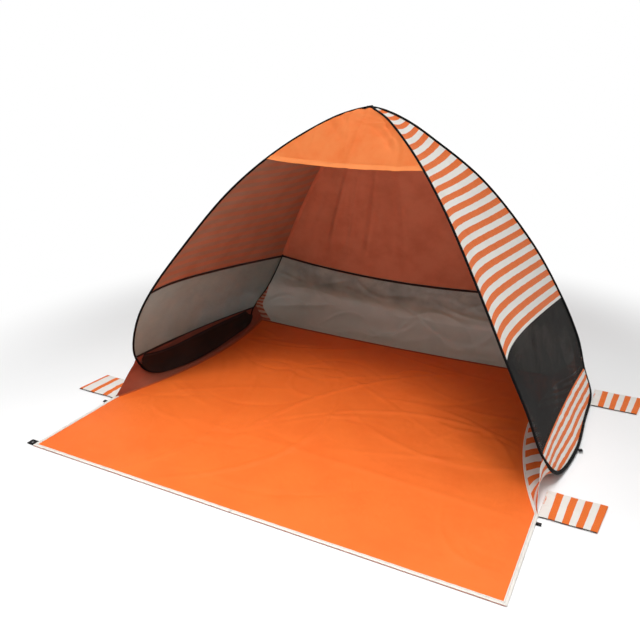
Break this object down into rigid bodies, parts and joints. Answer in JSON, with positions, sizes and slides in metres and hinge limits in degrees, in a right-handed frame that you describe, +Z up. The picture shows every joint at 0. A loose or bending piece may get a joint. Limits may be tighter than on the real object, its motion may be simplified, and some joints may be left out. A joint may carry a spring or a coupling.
{
  "type": "tarp shelter",
  "caption": "Self-opening beach shelter with two leaf-shaped spring hoops, striped sides, mesh windows, open front, floor with porch and sand pockets.",
  "frame": {"origin": "on the ground under the apex, at the underside of the floor", "axes": "+X to the right seen from the mouth, +Y to the rear, +Z up"},
  "size_m": [2.0108, 1.4658, 1.1],
  "materials": {
    "orange_fabric": "satin woven polyester, silver-grey coating inside",
    "striped_fabric": "woven polyester printed with orange stripes on off-white",
    "grey_mesh": "fine open polyester mesh",
    "black_binding": "matt woven edge binding",
    "black_webbing": "ribbed polypropylene webbing",
    "white_hem": "folded polyester hem tape",
    "spring_steel": "drawn round spring wire"
  },
  "bodies": {
    "root": {"apex_tie": "black_webbing", "visor": "orange_fabric", "visor_hem": "orange_fabric", "rear_wall": "orange_fabric", "rear_seam": "black_binding", "rear_mesh_window": "grey_mesh", "floor_sheet": "orange_fabric", "floor_hem": "white_hem", "left_peg_loop": "black_webbing", "right_peg_loop": "black_webbing", "porch_peg_loop": "black_webbing"},
    "right_hoop": {"right_wire": "spring_steel", "right_wire_crimp": "spring_steel", "right_sleeve_front": "black_binding", "right_sleeve_foot": "black_binding", "right_sleeve_rear": "black_binding", "right_sleeve_tail": "black_binding", "right_upper_panel": "striped_fabric", "right_upper_seam": "black_binding", "right_mesh_window": "grey_mesh", "right_lower_seam": "black_binding", "right_lower_panel": "striped_fabric", "right_gusset": "striped_fabric"},
    "left_hoop": {"left_wire": "spring_steel", "left_wire_crimp": "spring_steel", "left_sleeve_front": "black_binding", "left_sleeve_foot": "black_binding", "left_sleeve_rear": "black_binding", "left_sleeve_tail": "black_binding", "left_upper_panel": "striped_fabric", "left_upper_seam": "black_binding", "left_mesh_window": "grey_mesh", "left_lower_seam": "black_binding", "left_lower_panel": "striped_fabric", "left_gusset": "striped_fabric", "left_storage_pocket": "grey_mesh", "left_storage_hem": "black_binding"},
    "right_front_pocket": {"right_front_sand_pocket": "striped_fabric"},
    "right_rear_pocket": {"right_rear_sand_pocket": "striped_fabric"},
    "left_front_pocket": {"left_front_sand_pocket": "striped_fabric"},
    "left_rear_pocket": {"left_rear_sand_pocket": "striped_fabric"}
  },
  "joints": [
    {"name": "left_fold", "type": "hinge", "parent": "root", "child": "left_hoop", "pos_m": [0, 0, 1.0911], "axis": [0, -1, 0], "range_deg": [0, 33], "stiffness_Nm_per_rad": 2, "springref_deg": -17.19, "deforming": ["visor", "visor_hem", "rear_wall", "rear_seam", "rear_mesh_window", "floor_sheet", "floor_hem", "left_gusset"]},
    {"name": "right_fold", "type": "hinge", "parent": "root", "child": "right_hoop", "pos_m": [0, 0, 1.0911], "axis": [0, -1, 0], "range_deg": [-33, 0], "stiffness_Nm_per_rad": 2, "springref_deg": 17.19, "deforming": ["right_gusset"]},
    {"name": "right_front_pocket_lift", "type": "hinge", "parent": "right_hoop", "child": "right_front_pocket", "pos_m": [0.8073, -0.525, 0.002], "axis": [0, -1, 0], "range_deg": [0, 50]},
    {"name": "right_rear_pocket_lift", "type": "hinge", "parent": "right_hoop", "child": "right_rear_pocket", "pos_m": [0.8535, 0.25, 0.002], "axis": [0, -1, 0], "range_deg": [0, 50]},
    {"name": "left_front_pocket_lift", "type": "hinge", "parent": "left_hoop", "child": "left_front_pocket", "pos_m": [-0.8073, -0.525, 0.002], "axis": [0, 1, 0], "range_deg": [0, 50]},
    {"name": "left_rear_pocket_lift", "type": "hinge", "parent": "left_hoop", "child": "left_rear_pocket", "pos_m": [-0.7543, 0.2, 0.002], "axis": [0, 1, 0], "range_deg": [0, 50]}
  ],
  "couplings": [
    {"joint": "right_fold", "follows": "left_fold", "ratio": -1}
  ]
}
